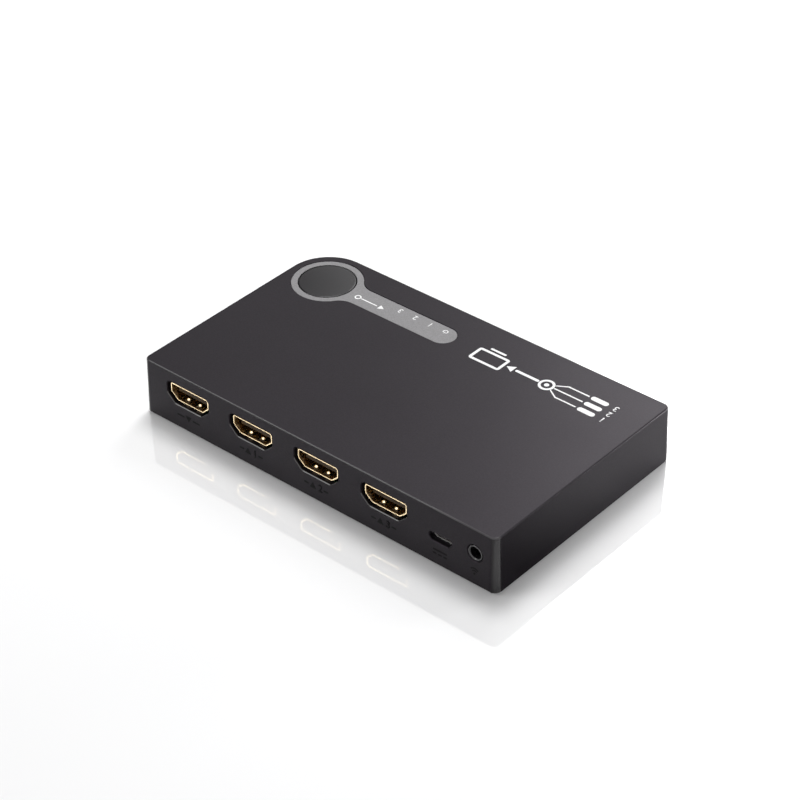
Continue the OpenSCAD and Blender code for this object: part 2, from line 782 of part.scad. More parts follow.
module circuit_board() {
    color([0.05, 0.3, 0.16]) difference() {
        translate([0, 0, z_under]) linear_extrude(board_t) case_outline(wall + board_clear);
        for (p = case_posts) upright(p, screw_r + screw_clear, z_under - cut, z_board + cut);
        for (p = board_posts) upright(p, board_screw_r + screw_clear, z_under - cut, z_board + cut);
        for (x = socket_x, sx = [-1, 1], y = legs_y)
            pin_slot(x + sx * leg_x, y_mouth + y, socket_sheet, leg_pin_w);
        for (y = jack_pegs_y) upright([jack_x, y_jack + y], peg_r + pin_clear, z_under - cut, z_board + cut);
        for (t = terminals_at) pin_slot(jack_x + t[0], y_jack + t[1], terminal_t, terminal_w / 2);
    }
}

// Video sockets

// A pressed spring in the lower wall, with its dimple
module shell_spring() {
    z1 = -socket_h / 2;
    z0 = z1 - socket_sheet;
    tip_rise = spring_rise / 3;
    along_x(-spring_w / 2, spring_w) polygon([
        [spring_root + socket_sheet, z0], [spring_root, z0], [spring_crest, z0 + spring_rise],
        [spring_tip, z0 + tip_rise], [spring_tip, z1 + tip_rise], [spring_crest, z1 + spring_rise],
        [spring_root, z1], [spring_root + socket_sheet, z1]
    ]);
    translate([0, spring_crest, z1 + spring_rise - socket_sheet / 2])
        cylinder(r1 = dimple_r, r2 = dimple_r / 2, h = dimple_h + socket_sheet / 2);
}

module spring_window() {
    w = spring_w + 2 * spring_slot;
    translate([-w / 2, spring_tip - spring_slot, -socket_h / 2 - socket_sheet - cut])
        cube([w, spring_root - spring_tip + spring_slot, socket_sheet + cut + socket_sheet / 2]);
}

// Both springs of the lower wall and both of the upper wall
module each_spring() {
    for (up = [0, 1], sx = [-1, 1]) mirror([0, 0, up]) translate([sx * spring_gap / 2, 0, 0]) children();
}

module video_shell(i) {
    color([0.83, 0.62, 0.28]) at_socket(i) {
        difference() {
            along_y(0, socket_l) socket_2d(socket_sheet);
            along_y(-cut, socket_l + 2 * cut) socket_2d(0);
            each_spring() spring_window();
            translate([-socket_w, socket_floor_l, -socket_h])
                cube([2 * socket_w, socket_l, 3 * socket_h / 2 - socket_side_h]);
        }
        each_spring() shell_spring();
        for (sx = [-1, 1], y = legs_y) translate([sx * leg_x - socket_sheet / 2, y, 0]) {
            translate([0, -leg_w / 2, -socket_up])
                cube([socket_sheet, leg_w, socket_up + socket_h / 4]);
            translate([0, -leg_pin_w / 2, -socket_up - board_t - leg_below])
                cube([socket_sheet, leg_pin_w, socket_up + board_t + leg_below]);
        }
    }
}

// A contact's side view: along one face of the tongue at height z0, and down to the board behind it
module contact_2d(front, rear, z0, up) {
    z1 = z0 + contact_t;
    polygon([
        [front, z0], [rear, z0], [rear, -up], [rear + contact_foot, -up],
        [rear + contact_foot, contact_t - up], [rear + contact_t, contact_t - up],
        [rear + contact_t, z1], [front, z1]
    ]);
}

// A row of those, side by side along X
module contact_row(count, pitch, width, front, rear, z0, up) {
    for (k = [0:count - 1]) along_x((k - (count - 1) / 2) * pitch - width / 2, width)
        contact_2d(front, rear, z0, up);
}

module contact_set() {
    out = tongue_t / 2 + contact_proud;
    heights = [tongue_up + out - contact_t, tongue_up - out];
    for (i = [0, 1]) contact_row(contact_counts[i], contact_pitch, contact_w,
        tongue_back + contact_w, block_end + contact_t, heights[i], socket_up);
}

module video_tongue(i) {
    stand_w = socket_low_w - 2 * insert_clear;
    color([0.1, 0.09, 0.085]) at_socket(i) difference() {
        union() {
            translate([-tongue_w / 2, tongue_back, tongue_up - tongue_t / 2])
                cube([tongue_w, block_end - tongue_back, tongue_t]);
            along_y(block_back, block_end - block_back) socket_2d(-insert_clear);
            translate([-stand_w / 2, socket_floor_l + insert_clear, -socket_up])
                cube([stand_w, block_end - socket_floor_l - insert_clear, socket_up]);
        }
        contact_set();
    }
}

module video_contacts(i) {
    color([0.9, 0.74, 0.36]) at_socket(i) contact_set();
}

// Power socket

module power_shell() {
    leg_y = (power_l - power_leg_w) / 2;
    color([0.55, 0.55, 0.56]) at_power() {
        difference() {
            along_y(0, power_l) power_2d(power_sheet);
            along_y(-cut, power_l + 2 * cut) power_2d(0);
        }
        for (side = [0, 1]) mirror([side, 0, 0]) translate([power_w / 2, leg_y, -power_up])
            cube([power_sheet, power_leg_w, power_up + power_h / 4]);
    }
}

module power_contact_set() {
    contact_row(power_contact_count, power_pitch, power_contact_w, power_tongue_back + power_contact_w,
        power_l + contact_t, power_tongue_up + contact_proud - contact_t, power_up);
}

module power_tongue() {
    color([0.1, 0.1, 0.1]) at_power() difference() {
        union() {
            translate([-power_tongue_w / 2, power_tongue_back, power_tongue_up - power_tongue_t])
                cube([power_tongue_w, power_l - power_tongue_back, power_tongue_t]);
            along_y(power_l - power_block_l, power_block_l) power_2d(-insert_clear);
        }
        power_contact_set();
    }
}

module power_contacts() {
    color([0.9, 0.74, 0.36]) at_power() power_contact_set();
}

// Jack

module jack_body() {
    color([0.08, 0.08, 0.08]) at_jack() difference() {
        union() {
            rotate([-90, 0, 0]) cylinder(r = jack_collar_r, h = jack_collar_l);
            translate([-jack_w / 2, jack_front, -jack_up]) cube([jack_w, jack_l - jack_front, jack_h]);
            for (y = jack_pegs_y) translate([0, y, -jack_up - board_t + pin_clear])
                cylinder(r = peg_r, h = board_t);
        }
        translate([0, -cut, 0]) rotate([-90, 0, 0]) cylinder(r = jack_bore_r, h = jack_bore_l + cut);
        rotate([-90, 0, 0]) cylinder(r1 = jack_mouth_r, r2 = jack_bore_r, h = jack_mouth_l);
    }
}

module jack_terminals() {
    color([0.8, 0.8, 0.78]) at_jack() for (t = terminals_at) {
        translate([t[0] - terminal_t / 2, t[1] - terminal_w / 2, -jack_up])
            cube([terminal_t, terminal_w, jack_h / 2]);
        translate([t[0] - terminal_t / 2, t[1] - terminal_w / 4, -jack_up - board_t - leg_below])
            cube([terminal_t, terminal_w / 2, board_t + leg_below + terminal_w / 2]);
    }
}

// Parts on the board

module lamp(i) {
    lens_r = lamp_w / 2;
    color([0.93, 0.93, 0.88]) on_board([lamp_x[i], button_pos[1]]) {
        translate([-lamp_l / 2, -lamp_w / 2, 0]) cube([lamp_l, lamp_w, lamp_h / 2]);
        cylinder(r1 = lens_r, r2 = lens_r - lamp_h / 8, h = lamp_h);
    }
}

module video_chip() {
    color([0.1, 0.1, 0.11]) on_board(video_chip_at) chip_body(video_chip_w, video_chip_w, chip_h);
}

module video_chip_leads() {
    pitch = (video_chip_w - 2 * lead_out) / video_chip_leads;
    color([0.8, 0.8, 0.78]) on_board(video_chip_at) for (a = [0:90:270]) rotate([0, 0, a])
        lead_row(video_chip_w, video_chip_leads, pitch, pitch / 2, chip_h / 2);
}

module control_chip() {
    color([0.1, 0.1, 0.11]) on_board(control_chip_at) chip_body(control_chip_l, control_chip_w, chip_h);
}

module control_chip_leads() {
    pitch = (control_chip_l - lead_out) / control_chip_leads;
    color([0.8, 0.8, 0.78]) on_board(control_chip_at) for (a = [0, 180]) rotate([0, 0, a])
        lead_row(control_chip_w, control_chip_leads, pitch, pitch / 3, chip_h / 2);
}

module regulator() {
    color([0.1, 0.1, 0.11]) on_board(regulator_at) chip_body(regulator_l, regulator_w, chip_h);
}

module regulator_leads() {
    pitch = regulator_l / 3;
    color([0.8, 0.8, 0.78]) on_board(regulator_at) {
        rotate([0, 0, 180]) lead_row(regulator_w, 3, pitch, pitch / 3, chip_h / 2);
        lead_row(regulator_w, 1, pitch, regulator_l / 2, chip_h / 2);
    }
}

module crystal() {
    r = crystal_w / 2;
    color([0.78, 0.78, 0.76]) on_board(crystal_at) linear_extrude(crystal_h) {
        square([crystal_l - crystal_w, crystal_w], center = true);
        for (sx = [-1, 1]) translate([sx * (crystal_l - crystal_w) / 2, 0]) circle(r);
    }
}

// An upright can with a rolled groove above its base
module capacitor_cans() {
    groove = can_r / 8;
    color([0.78, 0.79, 0.8]) for (p = cans_at) on_board(p) rotate_extrude() difference() {
        translate([0, can_base_t]) square([can_r, can_h - can_base_t]);
        translate([can_r, 2 * can_base_t]) circle(groove);
    }
}

module capacitor_bases() {
    w = can_r + can_base_t / 4;
    color([0.1, 0.1, 0.1]) for (p = cans_at) on_board(p) linear_extrude(can_base_t)
        polygon([[-w, -w], [w, -w], [w, w / 2], [w / 2, w], [-w / 2, w], [-w, w / 2]]);
}

// A small two-ended part with raised end caps, lying along Y
module chip_part(at) {
    cap = chip_part_l / 5;
    raise = chip_part_h / 12;
    on_board(at) {
        translate([-chip_part_w / 2, -chip_part_l / 2, 0])
            cube([chip_part_w, chip_part_l, chip_part_h - raise]);
        for (y = [-chip_part_l / 2, chip_part_l / 2 - cap]) translate([-chip_part_w / 2, y, 0])
            cube([chip_part_w, cap, chip_part_h]);
    }
}

module ceramic_capacitors() {
    color([0.72, 0.6, 0.45]) for (p = ceramics_at) chip_part(p);
}

module chip_resistors() {
    color([0.13, 0.13, 0.14]) for (p = resistors_at) chip_part(p);
}

// Fasteners

// A pan-head screw with a plain cross recess, driven upwards from its seat
module screw(r, l, head_r, head_h) {
    recess_w = head_r / 3;
    recess_l = head_r + recess_w;
    edge = head_h / 4;
    difference() {
        union() {
            cylinder(r = r, h = l);
            rotate([180, 0, 0]) rotate_extrude() {
                square([head_r - edge, head_h]);
                square([head_r, head_h - edge]);
                translate([head_r - edge, head_h - edge]) circle(edge);
            }
        }
        for (a = [0, 90]) rotate([0, 0, a]) translate([-recess_l / 2, -recess_w / 2, -head_h - cut])
            cube([recess_l, recess_w, cut + head_h / 2]);
    }
}

module case_screws() {
    color([0.25, 0.25, 0.26]) for (p = case_posts) translate([p[0], p[1], z_seat])
        screw(screw_r, screw_l, screw_head_r, screw_head_h);
}

module board_screws() {
    color([0.7, 0.7, 0.7]) for (p = board_posts) translate([p[0], p[1], z_under])
        screw(board_screw_r, board_screw_l, board_screw_head_r, board_screw_head_h);
}

top_shell();
base_plate();
indicator_panel();
select_button();
circuit_board();
switch_body();
switch_cover();
switch_plunger();
switch_terminals();
for (i = [0:3]) {
    video_shell(i);
    video_tongue(i);
    video_contacts(i);
    lamp(i);
    foot(i);
}
power_shell();
power_tongue();
power_contacts();
jack_body();
jack_terminals();
video_chip();
video_chip_leads();
control_chip();
control_chip_leads();
regulator();
regulator_leads();
crystal();
capacitor_cans();
capacitor_bases();
ceramic_capacitors();
chip_resistors();
case_screws();
board_screws();
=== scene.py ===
# %% [markdown]
# # Dressing a video switch box
# The solids of this small switch box come from a CAD model: a moulded case, a round button in a
# grey panel, a row of sockets, and a circuit board inside. This lesson gives each surface its
# finish, softens the edges that a mould would soften, and adds the printed marks. Everything is
# in metres, in the same frame as the CAD model, so a piece goes where the CAD says.

# %% Load the CAD model
import json
import math

import bmesh
import bpy
from mathutils import Matrix, Vector

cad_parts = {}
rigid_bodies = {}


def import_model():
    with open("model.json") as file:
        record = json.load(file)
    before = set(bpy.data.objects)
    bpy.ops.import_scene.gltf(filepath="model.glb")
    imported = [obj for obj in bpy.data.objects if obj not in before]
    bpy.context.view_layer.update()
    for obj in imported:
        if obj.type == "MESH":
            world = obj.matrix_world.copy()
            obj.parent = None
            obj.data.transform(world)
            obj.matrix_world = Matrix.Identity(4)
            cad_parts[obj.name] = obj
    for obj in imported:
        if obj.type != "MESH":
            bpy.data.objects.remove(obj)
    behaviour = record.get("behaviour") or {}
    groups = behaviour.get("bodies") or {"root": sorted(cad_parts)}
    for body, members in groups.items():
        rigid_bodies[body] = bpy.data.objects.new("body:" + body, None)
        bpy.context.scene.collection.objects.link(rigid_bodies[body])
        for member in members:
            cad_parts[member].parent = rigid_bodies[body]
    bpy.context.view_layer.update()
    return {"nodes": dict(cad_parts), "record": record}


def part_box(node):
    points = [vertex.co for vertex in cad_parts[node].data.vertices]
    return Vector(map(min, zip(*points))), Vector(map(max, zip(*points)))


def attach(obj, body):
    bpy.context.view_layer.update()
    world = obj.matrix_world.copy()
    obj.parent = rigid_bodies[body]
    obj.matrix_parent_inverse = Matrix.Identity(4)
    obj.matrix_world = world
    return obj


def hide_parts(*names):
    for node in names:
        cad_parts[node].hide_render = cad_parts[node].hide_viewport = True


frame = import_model()
MM = 0.001

# %% [markdown]
# ## The camera
# The photograph was taken with a long lens from the front right, about 36 degrees above the
# table. The case has straight edges of known length, so the camera's turn, rise, tilt, distance
# and lens were worked out from where eight of those edges lie in the picture.

# %% Camera
turn, rise, tilt = math.radians(41.192), math.radians(35.814), math.radians(-0.868)
away = Vector((math.sin(turn) * math.cos(rise), -math.cos(turn) * math.cos(rise), math.sin(rise)))
right = Vector((math.cos(turn), math.sin(turn), 0))
up = away.cross(right)
case_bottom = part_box("top_shell")[0].z
ASIDE, ABOVE, DISTANCE = -0.988, 9.451, 706.86
camera_place = (ASIDE * right + ABOVE * up + DISTANCE * away) * MM + Vector((0, 0, case_bottom))
aimed = (Matrix.Rotation(turn, 4, "Z") @ Matrix.Rotation(math.pi / 2 - rise, 4, "X")
         @ Matrix.Rotation(tilt, 4, "Z"))

bpy.ops.object.camera_add(location=camera_place, rotation=aimed.to_euler())
camera = bpy.context.object
camera.data.sensor_width = 36
camera.data.lens = 111.66
bpy.context.scene.camera = camera
print("camera at", [round(x, 4) for x in camera_place])

# %% [markdown]
# ## The table and the studio light
# A product photograph of this kind stands on a pale, polished sheet under large soft lamps. The
# sheet is a plane whose far edges run out of sight. Its own colour is a pale grey, and a little
# light of its own, seen only by the camera and by mirrors, takes it to full white where no
# shadow falls. That keeps the extra brightness away from the box itself.

# %% Table
bpy.context.scene.view_settings.view_transform = "Standard"


def seen_directly(nodes, links):
    """1 for rays from the camera, off mirrors and through glass, and 0 for diffuse light."""
    path = nodes.new("ShaderNodeLightPath")
    seen = path.outputs["Is Camera Ray"]
    for ray in ("Is Glossy Ray", "Is Transmission Ray"):
        both = nodes.new("ShaderNodeMath")
        both.operation = "MAXIMUM"
        links.new(seen, both.inputs[0])
        links.new(path.outputs[ray], both.inputs[1])
        seen = both.outputs[0]
    return seen


bpy.ops.object.select_all(action="DESELECT")
bpy.ops.mesh.primitive_plane_add(size=12, location=(0, 0, -0.00002))
table = bpy.context.object
table.name = "table"

sheet = bpy.data.materials.new("pale_sheet")
sheet.use_nodes = True
nodes, links = sheet.node_tree.nodes, sheet.node_tree.links
paper = nodes["Principled BSDF"]
paper.inputs["Base Color"].default_value = (0.82, 0.82, 0.824, 1)
paper.inputs["Roughness"].default_value = 0.06
paper.inputs["IOR"].default_value = 1.8
glow = nodes.new("ShaderNodeEmission")
lift = nodes.new("ShaderNodeMath")
lift.operation = "MULTIPLY"
lift.inputs[1].default_value = 0.11
links.new(seen_directly(nodes, links), lift.inputs[0])
links.new(lift.outputs[0], glow.inputs["Strength"])
both = nodes.new("ShaderNodeAddShader")
links.new(paper.outputs[0], both.inputs[0])
links.new(glow.outputs[0], both.inputs[1])
links.new(both.outputs[0], nodes["Material Output"].inputs["Surface"])
table.data.materials.append(sheet)
print("table", [round(x, 2) for x in table.dimensions])

# %% [markdown]
# ## The lamps
# A large soft lamp almost overhead, a little to the back left, gives the short soft shadows in
# front of the box and beside it. A smaller one behind it mirrors in the far right end of the top,
# so the top gets paler towards that end. One at the front left draws the light line along the
# front edge. One close to the table at the back right brightens the back of the right side, and is
# so low that it hardly lights the shadow on the table.

# %% Lamps


def softbox(name, place, aim, width, height, power):
    """A rectangular lamp at a place, turned to face a point."""
    bpy.ops.object.light_add(type="AREA", location=place)
    lamp = bpy.context.object
    lamp.name = name
    lamp.data.shape = "RECTANGLE"
    lamp.data.size, lamp.data.size_y = width, height
    lamp.data.energy = power
    lamp.rotation_euler = (Vector(aim) - Vector(place)).to_track_quat("-Z", "Y").to_euler()
    lamp.visible_camera = False


softbox("overhead", (-0.20, 0.24, 0.88), (0, 0, 0), 0.4, 0.4, 6.6)
softbox("front_left", (-0.46, -0.50, 0.49), (0, -0.03, 0.01), 0.36, 0.30, 1.7)
softbox("gleam", (-0.142, 0.445, 0.385), (0.06, 0.02, 0.019), 0.22, 0.22, 1.05)
softbox("low_right", (0.135, 0.15, 0.018), (0.065, 0.035, 0.01), 0.07, 0.03, 0.37)

# %% [markdown]
# ## The room
# The room around the table is white to mirrors, brighter towards the right, and much dimmer as a
# source of light. The camera itself always sees it white.

# %% Room
DARK, BRIGHT, DIM = 0.6, 2.1, 0.15
LEFT, MIDWAY = -0.70, -0.36
world = bpy.data.worlds.new("studio")
bpy.context.scene.world = world
world.use_nodes = True
nodes, links = world.node_tree.nodes, world.node_tree.links
heading = nodes.new("ShaderNodeSeparateXYZ")
links.new(nodes.new("ShaderNodeTexCoord").outputs["Generated"], heading.inputs[0])
walls = nodes.new("ShaderNodeMapRange")
for name, value in (("From Min", LEFT), ("From Max", MIDWAY), ("To Min", DARK), ("To Max", BRIGHT)):
    walls.inputs[name].default_value = value
links.new(heading.outputs["X"], walls.inputs["Value"])
ambient = nodes.new("ShaderNodeMapRange")
ambient.inputs["To Min"].default_value = DIM
links.new(walls.outputs["Result"], ambient.inputs["To Max"])
links.new(seen_directly(nodes, links), ambient.inputs["Value"])
at_least = nodes.new("ShaderNodeMath")
at_least.operation = "MAXIMUM"
links.new(ambient.outputs["Result"], at_least.inputs[0])
links.new(nodes.new("ShaderNodeLightPath").outputs["Is Camera Ray"], at_least.inputs[1])
links.new(at_least.outputs[0], nodes["Background"].inputs["Strength"])
nodes["Background"].inputs["Color"].default_value = (1, 1, 1, 1)
print("the room gives", DIM, "and shows", DARK, "to", BRIGHT, "in mirrors")

# %% [markdown]
# ## The black card
# In the photograph the right side is almost black at its front end and gets lighter towards the
# back. A photographer does that with a black card beside the object. Here the card lies next to
# the right side. Only mirrors see it, and only from above, so it darkens neither the table nor
# the picture, and it fades out towards the back. Its front right corner is drawn back, so that the
# upright corner of the case still mirrors the pale table.

# %% Black card
CARD_WIDTH, CARD_LENGTH, DRAWN_BACK = 28, 53, 14
CARD_X, CARD_Y, CARD_Z = 79, -10, 0.05
bpy.ops.object.select_all(action="DESELECT")
bpy.ops.mesh.primitive_plane_add(size=MM, location=(CARD_X * MM, CARD_Y * MM, CARD_Z * MM))
card = bpy.context.object
card.name = "black_card"
bpy.ops.object.mode_set(mode="EDIT")
bpy.ops.transform.resize(value=(CARD_WIDTH, CARD_LENGTH, 1))
bpy.ops.mesh.select_all(action="DESELECT")
bpy.ops.object.mode_set(mode="OBJECT")
for vertex in card.data.vertices:
    vertex.select = vertex.co.x > 0 > vertex.co.y
bpy.ops.object.mode_set(mode="EDIT")
bpy.ops.transform.translate(value=(0, DRAWN_BACK * MM, 0))
bpy.ops.object.mode_set(mode="OBJECT")
card.visible_camera = card.visible_diffuse = False
card.visible_shadow = card.visible_transmission = False
print("card corners in mm:", [[round(x / MM, 1) for x in v.co[:2]] for v in card.data.vertices])

# %% Finish of the card
FADE_FROM, FADE_TO = -12, 26
black = bpy.data.materials.new("black_card")
black.use_nodes = True
nodes, links = black.node_tree.nodes, black.node_tree.links
nodes["Principled BSDF"].inputs["Base Color"].default_value = (0.002, 0.002, 0.002, 1)
nodes["Principled BSDF"].inputs["Specular IOR Level"].default_value = 0
along = nodes.new("ShaderNodeSeparateXYZ")
links.new(nodes.new("ShaderNodeTexCoord").outputs["Object"], along.inputs[0])
fade = nodes.new("ShaderNodeMapRange")
fade.inputs["From Min"].default_value = FADE_FROM * MM
fade.inputs["From Max"].default_value = FADE_TO * MM
links.new(along.outputs["Y"], fade.inputs["Value"])
clear = nodes.new("ShaderNodeMath")
clear.operation = "MAXIMUM"
links.new(fade.outputs["Result"], clear.inputs[0])
links.new(nodes.new("ShaderNodeNewGeometry").outputs["Backfacing"], clear.inputs[1])
mix = nodes.new("ShaderNodeMixShader")
links.new(clear.outputs[0], mix.inputs["Fac"])
links.new(nodes["Principled BSDF"].outputs[0], mix.inputs[1])
links.new(nodes.new("ShaderNodeBsdfTransparent").outputs[0], mix.inputs[2])
links.new(mix.outputs[0], nodes["Material Output"].inputs["Surface"])
card.data.materials.append(black)
print("the card fades from", FADE_FROM, "to", FADE_TO, "mm of its length")

# %% [markdown]
# ## Tools for the finishes
# A real surface is never one flat colour. Moulded plastic has a fine grain from the eroded mould,
# plating follows the rolled sheet under it, and ink lies unevenly. Each finish below is a small
# set of nodes: a cloudy pattern at the size of the real grain steers the colour, the roughness
# and the relief. The patterns read Object coordinates, which are metres here, so a grain of a
# third of a millimetre stays that size on every piece.

# %% Tools for the finishes


def new_finish(name):
    """An empty finish: the material, its shader, and the place on the piece in metres."""
    finish = bpy.data.materials.new(name)
    finish.use_nodes = True
    place = finish.node_tree.nodes.new("ShaderNodeTexCoord").outputs["Object"]
    return finish, finish.node_tree.nodes["Principled BSDF"], place


def add(finish, kind, settings):
    """A new node, with each named input set to a value or linked to another node's output."""
    node = finish.node_tree.nodes.new("ShaderNode" + kind)
    for name, value in settings.items():
        if isinstance(value, bpy.types.NodeSocket):
            finish.node_tree.links.new(value, node.inputs[name])
        else:
            node.inputs[name].default_value = value
    return node


def speckle(finish, place, size, stretch=(1, 1, 1)):
    """A cloudy pattern from 0 to 1 with patches of about that size in millimetres."""
    place = add(finish, "Mapping", {"Vector": place, "Scale": stretch}).outputs["Vector"]
    cloud = add(finish, "TexNoise", {"Vector": place, "Scale": 1 / (size * MM), "Detail": 2.0})
    return cloud.outputs["Fac"]


def between(finish, pattern, least, most):
    """A number that follows a pattern from least to most."""
    spread = {"Value": pattern, "From Min": 0.15, "From Max": 0.85, "To Min": least, "To Max": most}
    return add(finish, "MapRange", spread).outputs["Result"]


def tinted(finish, pattern, colour, drift):
    """A colour that gets darker and lighter by a share, drift, as the pattern falls and rises."""
    ramp = add(finish, "ValToRGB", {"Fac": pattern})
    low, high = ramp.color_ramp.elements
    low.position, high.position = 0.3, 0.7
    low.color = [c * (1 - drift) for c in colour] + [1]
    high.color = [c * (1 + drift) for c in colour] + [1]
    return ramp.outputs["Color"]


def dress(finish, shader, colour, rough, height, depth):
    """Links colour and roughness to the shader, and a height pattern as relief of that depth."""
    relief = add(finish, "Bump", {"Height": height, "Distance": depth * MM})
    links = finish.node_tree.links
    links.new(colour, shader.inputs["Base Color"])
    links.new(rough, shader.inputs["Roughness"])
    links.new(relief.outputs["Normal"], shader.inputs["Normal"])


print("finish tools ready")

# %% [markdown]
# ## Moulded plastics
# The case and its base are black plastic with an eroded grain. The grey panel is smoother, and
# the button smoother still. Inside, the insulators of the sockets, the switch and the chips are
# dark plastics too. One helper makes them all: a fine pattern for the grain, and a broad one, a
# few centimetres wide, for the slight drift in sheen that handling leaves.

# %% Moulded plastics
finishes = {}


def moulded(name, colour, rough, grain, depth, drift=0.12, specular=0.5, tint=(1, 1, 1)):
    """A plastic whose grain size and depth are in millimetres."""
    finish, shader, place = new_finish(name)
    fine, broad = speckle(finish, place, grain), speckle(finish, place, 22)
    colour = tinted(finish, fine, colour, drift)
    dress(finish, shader, colour, between(finish, broad, rough - 0.03, rough + 0.03), fine, depth)
    shader.inputs["Specular IOR Level"].default_value = specular
    shader.inputs["Specular Tint"].default_value = (*tint, 1)
    finishes[name] = finish
    return finish


VIOLET = (1, 0.86, 1.03)
moulded("case_black", (0.0130, 0.0114, 0.0134), 0.32, 0.40, 0.008, drift=0.2, specular=0.10, tint=VIOLET)
moulded("base_black", (0.0135, 0.0128, 0.0137), 0.46, 0.35, 0.010, specular=0.2)
moulded("panel_grey", (0.210, 0.206, 0.211), 0.40, 0.34, 0.006, drift=0.14, specular=0.2)
moulded("button_grey", (0.0070, 0.0060, 0.0073), 0.22, 0.20, 0.002, drift=0.08, specular=0.28)
moulded("socket_black", (0.0300, 0.0165, 0.0070), 0.42, 0.18, 0.006, specular=0.12)
moulded("jack_black", (0.0130, 0.0120, 0.0130), 0.24, 0.18, 0.003, specular=0.42)
moulded("switch_black", (0.022, 0.022, 0.024), 0.45, 0.15, 0.005, specular=0.35)
moulded("chip_black", (0.016, 0.016, 0.017), 0.55, 0.07, 0.005, drift=0.2, specular=0.3)
moulded("can_base_black", (0.015, 0.015, 0.016), 0.50, 0.12, 0.005, specular=0.3)
moulded("resistor_black", (0.012, 0.012, 0.014), 0.30, 0.10, 0.004, drift=0.2)
moulded("ceramic_tan", (0.420, 0.290, 0.170), 0.45, 0.12, 0.005, drift=0.1)
moulded("rubber_black", (0.013, 0.013, 0.013), 0.80, 0.14, 0.020, drift=0.2, specular=0.3)
# Painted highlight: a paler, glossier copy of the case plastic for the front edge and the lips.
moulded("case_edge", (0.018, 0.016, 0.018), 0.24, 0.20, 0.002, drift=0.08, specular=0.45)
# Painted sheen: two copies of the case plastic that differ only in sheen, for the front corners.
moulded("corner_dull", (0.017, 0.015, 0.017), 0.24, 0.20, 0.002, drift=0.08, specular=0.24)
moulded("corner_shine", (0.018, 0.016, 0.018), 0.24, 0.20, 0.002, drift=0.08, specular=0.48)
print("plastics:", sorted(finishes))

# %% [markdown]
# ## Metals
# The video sockets are drawn from sheet and gold plated, the small power socket is bare steel,
# and the leads are tinned. Rolled sheet has fine streaks along one direction, so the pattern is
# stretched along the depth of the socket. The streaks steer roughness most of all, because on
# metal that is what the eye sees.

# %% Metals


def plated(name, colour, rough, streak, depth, along=(1, 0.12, 1)):
    """A metal with streaks, streak millimetres wide, drawn out where along is small."""
    finish, shader, place = new_finish(name)
    fine, broad = speckle(finish, place, streak, along), speckle(finish, place, 6)
    colour = tinted(finish, broad, colour, 0.07)
    dress(finish, shader, colour, between(finish, fine, rough - 0.06, rough + 0.08), fine, depth)
    shader.inputs["Metallic"].default_value = 1.0
    finishes[name] = finish


plated("gold_plate", (0.95, 0.76, 0.48), 0.20, 0.12, 0.0008)
plated("contact_gold", (0.84, 0.60, 0.28), 0.26, 0.10, 0.0010)
plated("power_steel", (0.60, 0.59, 0.58), 0.50, 0.12, 0.0010)
plated("switch_steel", (0.58, 0.58, 0.57), 0.32, 0.15, 0.0015, along=(0.12, 1, 1))
plated("tinned_lead", (0.66, 0.66, 0.64), 0.38, 0.20, 0.0020, along=(1, 1, 0.3))
plated("can_aluminium", (0.72, 0.72, 0.73), 0.30, 0.10, 0.0010, along=(1, 1, 0.1))
plated("screw_black", (0.050, 0.050, 0.052), 0.42, 0.10, 0.0020, along=(1, 1, 1))
plated("screw_zinc", (0.60, 0.62, 0.64), 0.34, 0.15, 0.0015, along=(1, 1, 1))
print("metals added:", len(finishes), "finishes")

# %% [markdown]
# ## Board, lamps and ink
# The circuit board is glass cloth under a green lacquer, with copper tracks that show through as
# paler lines: a brick pattern draws the runs. The four lamps are clear resin. The white ink on
# the top and the strip is screen printed, so it is thin and slightly mottled, and the marks under
# the sockets are a matter, deeper black than the plastic.

# %% Board
finish, shader, place = new_finish("board_green")
runs = add(finish, "TexBrick", {
    "Vector": place, "Scale": 260.0, "Mortar Size": 0.028, "Brick Width": 1.7, "Row Height": 0.4,
    "Color1": (0.008, 0.050, 0.018, 1), "Color2": (0.007, 0.044, 0.016, 1),
    "Mortar": (0.020, 0.100, 0.036, 1)})
cloth = speckle(finish, place, 0.4)
rough = between(finish, cloth, 0.24, 0.36)
dress(finish, shader, runs.outputs["Color"], rough, runs.outputs["Fac"], 0.03)
finishes["board_green"] = finish
print("board finish ready")

# %% Lamps and ink
lamp_clear = moulded("lamp_clear", (0.86, 0.86, 0.80), 0.14, 0.8, 0.004, drift=0.04)
lamp_clear.node_tree.nodes["Principled BSDF"].inputs["Transmission Weight"].default_value = 0.7
moulded("ink_white", (0.82, 0.82, 0.82), 0.50, 0.25, 0.006, drift=0.05, specular=0.3)
moulded("ink_black", (0.0045, 0.0042, 0.0046), 0.45, 0.25, 0.002, drift=0.2, specular=0.05)
print("finishes:", len(finishes))

# %% [markdown]
# ## Handing out the finishes
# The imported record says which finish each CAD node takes, by the name of its material slot. The
# finishes above have the same names, so one loop dresses all the nodes that are kept.

# %% Hand out the finishes
slot_of = {row["node"]: row["material_slot"] for row in frame["record"]["subparts"]}
for node, piece in frame["nodes"].items():
    piece.data.materials.clear()
    piece.data.materials.append(finishes[slot_of[node]])
print("dressed", len(slot_of), "nodes with", len(set(slot_of.values())), "finishes")

# %% [markdown]
# ## Softening the case's edges
# A CAD edge is knife sharp, and a moulded one never is: without a small round an edge catches no
# light. The mesh of a CAD node stays as it is, so a copy is softened and stands for the node. The
# copy's loose triangles are merged and its flat faces joined up. Then the edges to soften are
# selected by their place, round the openings in the front, round the panel's recess and along the
# foot of the wall, and bevelled by one or two tenths of a millimetre.

# %% Tools for picking and copying


def only(piece):
    """Selects one object and makes it the active one."""
    bpy.ops.object.select_all(action="DESELECT")
    piece.select_set(True)
    bpy.context.view_layer.objects.active = piece


